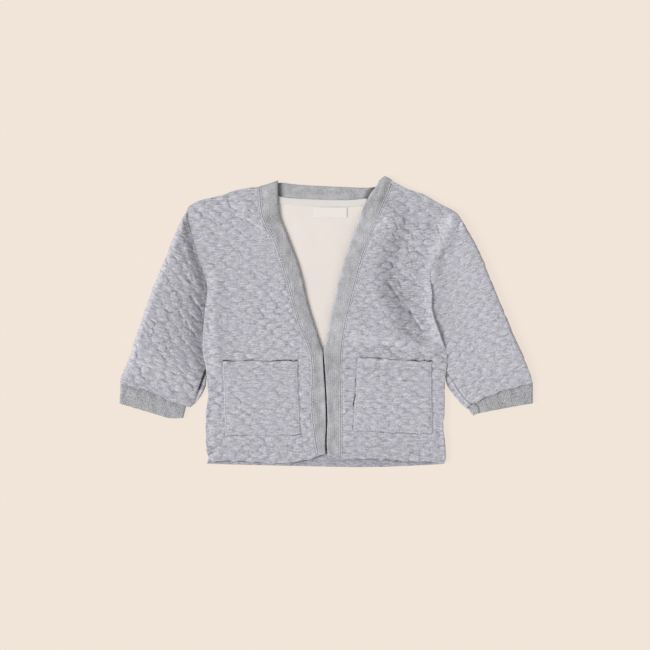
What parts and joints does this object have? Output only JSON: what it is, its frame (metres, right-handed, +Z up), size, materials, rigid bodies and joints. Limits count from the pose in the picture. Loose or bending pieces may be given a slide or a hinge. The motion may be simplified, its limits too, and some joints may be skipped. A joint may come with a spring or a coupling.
{
  "type": "baby cardigan",
  "caption": "Quilted long-sleeved baby cardigan with a V neck, rib bands and cuffs and patch pockets, laid out flat.",
  "frame": {"origin": "the middle of the garment's outline on the surface that it lies on", "axes": "+X towards the sleeve at the right as seen from above, +Y towards the neck, +Z up off the surface"},
  "size_m": [0.4946, 0.3492, 0.0097],
  "materials": {
    "grey_quilting": "matte",
    "grey_rib": "matte",
    "cream_inside": "matte",
    "cream_tape": "matte"
  },
  "bodies": {
    "root": {"back": "cream_inside", "front_left": "grey_quilting", "front_right": "grey_quilting", "sleeve_left": "grey_quilting", "sleeve_right": "grey_quilting", "cuff_left": "grey_rib", "cuff_right": "grey_rib", "band_left": "grey_rib", "band_right": "grey_rib", "neckband": "grey_rib", "pocket_left": "grey_quilting", "pocket_right": "grey_quilting", "neck_tape": "cream_tape", "neck_label": "cream_tape"}
  },
  "joints": []
}
